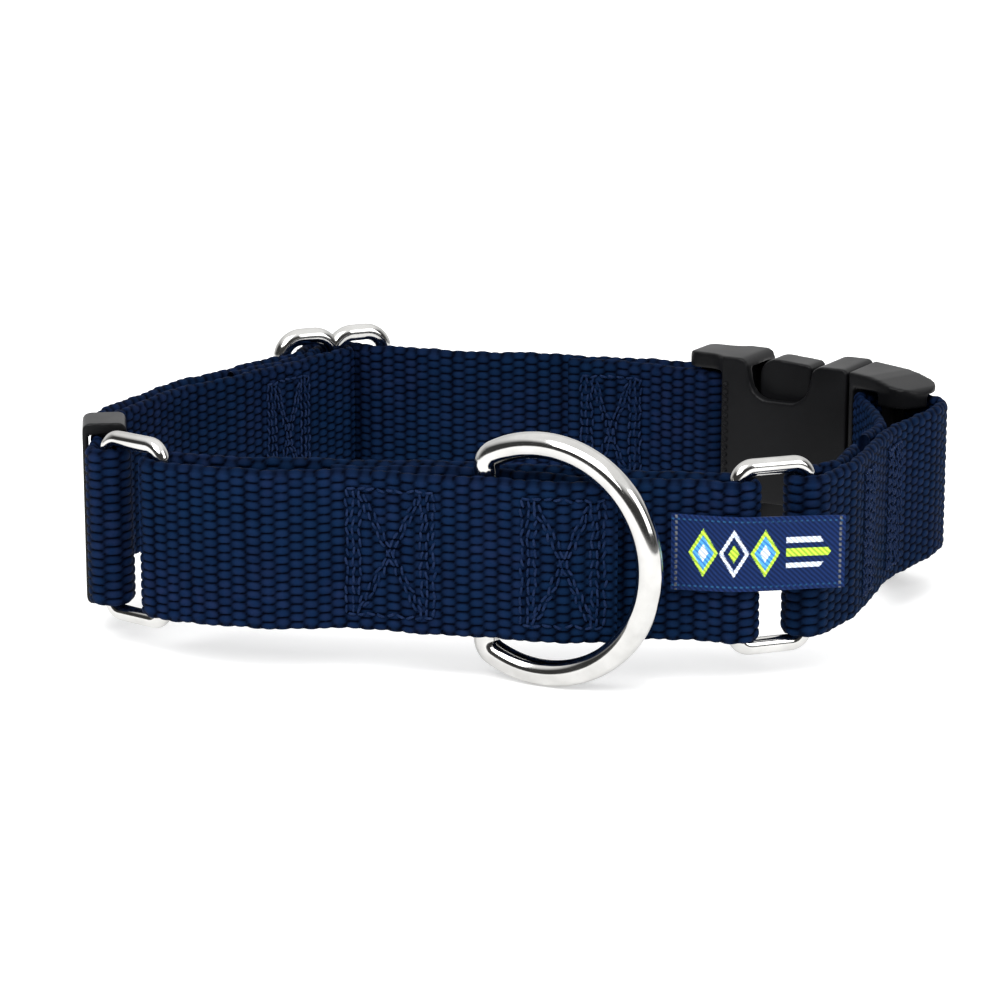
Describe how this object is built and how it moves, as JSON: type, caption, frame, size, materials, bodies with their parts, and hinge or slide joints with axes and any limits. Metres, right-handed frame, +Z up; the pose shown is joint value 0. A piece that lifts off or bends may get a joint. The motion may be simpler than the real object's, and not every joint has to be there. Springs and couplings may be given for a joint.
{
  "type": "martingale dog collar",
  "caption": "Navy webbing martingale collar with control loop, leash D-ring, metal slide and side-release buckle.",
  "frame": {"origin": "middle of the collar's footprint, at the lowest point of the D-ring", "axes": "+X along the control loop towards the buckle side, +Y from the control loop towards the slide, +Z up along the webbing's width"},
  "size_m": [0.1394, 0.1152, 0.039],
  "materials": {
    "navy_webbing": "woven, matte",
    "navy_thread": "bonded thread, low sheen",
    "nickel": "polished nickel plate",
    "black_acetal": "fine moulded texture",
    "label_satin": "woven satin"
  },
  "bodies": {
    "collar": {"neck_strap": "navy_webbing", "buckle_strap": "navy_webbing", "buckle_female": "black_acetal", "buckle_end_stitching": "navy_thread", "ring_end_stitching": "navy_thread", "buckle_strap_stitching": "navy_thread", "woven_label": "label_satin"},
    "loop_right": {"control_loop": "navy_webbing", "loop_right_stitching": "navy_thread"},
    "loop_left": {"loop_left_stitching": "navy_thread"},
    "leash_ring": {"d_ring": "nickel"},
    "left_side": {"left_ring": "nickel"},
    "adjuster": {"slide": "nickel", "slide_end_stitching": "navy_thread"},
    "strap_keeper": {"keeper": "black_acetal"},
    "right_link": {"right_ring": "nickel"},
    "male_half": {"buckle_male": "black_acetal"},
    "prong_top": {"upper_prong": "black_acetal"},
    "prong_bottom": {"lower_prong": "black_acetal"}
  },
  "joints": [
    {"name": "martingale_pull", "type": "hinge", "parent": "collar", "child": "loop_right", "pos_m": [0.03168, -0.04708, 0.0195], "axis": [0, 0, 1], "range_deg": [0, 36.8], "deforming": ["control_loop", "woven_label", "neck_strap"]},
    {"name": "loop_fold", "type": "hinge", "parent": "loop_right", "child": "loop_left", "pos_m": [-0.00562, -0.04338, 0.0195], "axis": [0, 0, 1], "range_deg": [-57.4, 0], "deforming": ["control_loop"]},
    {"name": "left_side_draw", "type": "hinge", "parent": "collar", "child": "left_side", "pos_m": [-0.00362, 0.04872, 0.0195], "axis": [0, 0, 1], "range_deg": [0, 8.1], "deforming": ["neck_strap", "control_loop"]},
    {"name": "d_ring_swing", "type": "hinge", "parent": "loop_right", "child": "leash_ring", "pos_m": [-0.00562, -0.04338, 0.0195], "axis": [0, 0, 1], "range_deg": [-130, 0]},
    {"name": "right_ring_swing", "type": "hinge", "parent": "collar", "child": "right_link", "pos_m": [0.04238, -0.04318, 0.0195], "axis": [0, 0, 1], "range_deg": [-2.5, 2.5], "deforming": ["control_loop", "buckle_strap"]},
    {"name": "size_adjust", "type": "slide", "parent": "left_side", "child": "adjuster", "axis": [0.6, 0.8, 0], "range_m": [-0.01, 0.003], "deforming": ["neck_strap"]},
    {"name": "keeper_slide", "type": "slide", "parent": "left_side", "child": "strap_keeper", "axis": [-0.108, 0.9942, 0], "range_m": [0, 0.006], "deforming": ["neck_strap"]},
    {"name": "buckle_release", "type": "slide", "parent": "collar", "child": "male_half", "axis": [0.866, -0.5, 0], "range_m": [0, 0.022], "deforming": ["buckle_strap", "buckle_strap_stitching", "upper_prong", "lower_prong"]},
    {"name": "upper_prong_press", "type": "hinge", "parent": "male_half", "child": "prong_top", "pos_m": [0.05403, 0.02172, 0.0286], "axis": [-0.5, -0.866, 0], "range_deg": [0, 14], "stiffness_Nm_per_rad": 0.05},
    {"name": "lower_prong_press", "type": "hinge", "parent": "male_half", "child": "prong_bottom", "pos_m": [0.05403, 0.02172, 0.0104], "axis": [0.5, 0.866, 0], "range_deg": [0, 14], "stiffness_Nm_per_rad": 0.05}
  ],
  "couplings": [
    {"joint": "loop_fold", "follows": "martingale_pull", "ratio": -1.556},
    {"joint": "left_side_draw", "follows": "martingale_pull", "ratio": 0.2175}
  ]
}
